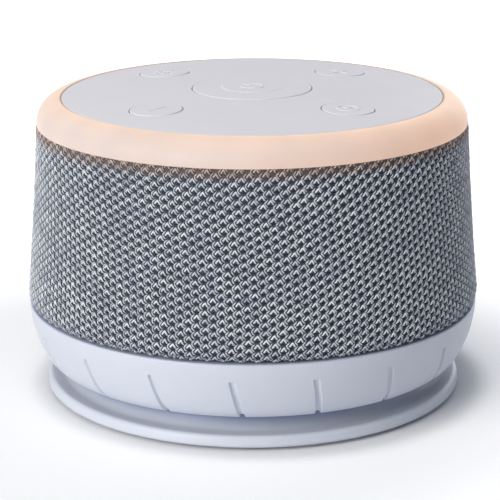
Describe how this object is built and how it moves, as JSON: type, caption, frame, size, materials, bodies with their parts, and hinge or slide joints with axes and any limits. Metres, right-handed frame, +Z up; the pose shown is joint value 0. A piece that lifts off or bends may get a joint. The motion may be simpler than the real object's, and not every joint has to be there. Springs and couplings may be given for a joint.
{
  "type": "white noise sound machine",
  "caption": "Round cloth-wrapped white noise machine with a fan inside, a light ring, push buttons on a domed top and a turning tone ring at the foot.",
  "frame": {"origin": "centre of the round footprint on the surface it stands on", "axes": "+Z up along the drum's axis, front at -Y, power socket at +Y"},
  "size_m": [0.1484, 0.1484, 0.0995],
  "materials": {
    "cover_plastic": "fine matt, lightly textured",
    "body_plastic": "fine matt, pale blue grey",
    "inner_plastic": "plain moulded",
    "dark_plastic": "plain moulded",
    "diffuser": "milky, lit from inside",
    "cloth": "woven two-tone speaker cloth",
    "foot_rubber": "soft matt",
    "steel": "bright zinc plate",
    "motor_steel": "drawn sheet steel",
    "bronze": "sintered bronze",
    "magnet": "ferrite",
    "copper": "enamelled winding",
    "board_green": "solder mask",
    "lamp": "moulded lens",
    "lead_red": "insulation",
    "lead_black": "insulation"
  },
  "bodies": {
    "housing": {"foot_pad": "foot_rubber", "base_disc": "body_plastic", "base_screws": "steel", "lower_chassis": "body_plastic", "grille_frame": "dark_plastic", "frame_screws": "steel", "fabric_sleeve": "cloth", "acoustic_chamber": "inner_plastic", "chamber_screws": "steel", "motor_can": "motor_steel", "motor_cap": "dark_plastic", "motor_bushes": "bronze", "motor_magnets": "magnet", "motor_bracket": "steel", "motor_screws": "steel", "rubber_mounts": "foot_rubber", "bracket_screws": "steel", "upper_deck": "inner_plastic", "deck_screws": "steel", "led_board": "board_green", "led_lamps": "lamp", "light_ring": "diffuser", "top_cover": "cover_plastic", "cover_screws": "steel", "control_board": "board_green", "board_screws": "steel", "board_parts": "dark_plastic", "tact_switches": "dark_plastic", "power_socket": "dark_plastic", "socket_pin": "bronze", "socket_board": "board_green", "socket_screws": "steel", "socket_bezel": "body_plastic", "motor_leads": "lead_red", "power_leads": "lead_black"},
    "tone_ring": {"tone_ring": "body_plastic"},
    "fan_rotor": {"motor_shaft": "steel", "armature": "copper", "fan_wheel": "inner_plastic"},
    "power_key": {"power_button": "cover_plastic"},
    "minus_key": {"minus_button": "cover_plastic"},
    "plus_key": {"plus_button": "cover_plastic"},
    "timer_key": {"timer_button": "cover_plastic"},
    "light_key": {"light_button": "cover_plastic"}
  },
  "joints": [
    {"name": "tone_turn", "type": "hinge", "parent": "housing", "child": "tone_ring", "pos_m": [0, 0, 0.0175], "axis": [0, 0, 1], "range_deg": [0, 30]},
    {"name": "fan_spin", "type": "hinge", "parent": "housing", "child": "fan_rotor", "pos_m": [0, 0, 0.035], "axis": [0, 0, 1], "continuous": true},
    {"name": "power_press", "type": "slide", "parent": "housing", "child": "power_key", "axis": [0, 0, -1], "range_m": [0, 0.0008], "stiffness_N_per_m": 800, "springref_m": -0.001},
    {"name": "minus_press", "type": "slide", "parent": "housing", "child": "minus_key", "axis": [0, 0, -1], "range_m": [0, 0.0008], "stiffness_N_per_m": 800, "springref_m": -0.001},
    {"name": "plus_press", "type": "slide", "parent": "housing", "child": "plus_key", "axis": [0, 0, -1], "range_m": [0, 0.0008], "stiffness_N_per_m": 800, "springref_m": -0.001},
    {"name": "timer_press", "type": "slide", "parent": "housing", "child": "timer_key", "axis": [0, 0, -1], "range_m": [0, 0.0008], "stiffness_N_per_m": 800, "springref_m": -0.001},
    {"name": "light_press", "type": "slide", "parent": "housing", "child": "light_key", "axis": [0, 0, -1], "range_m": [0, 0.0008], "stiffness_N_per_m": 800, "springref_m": -0.001}
  ]
}
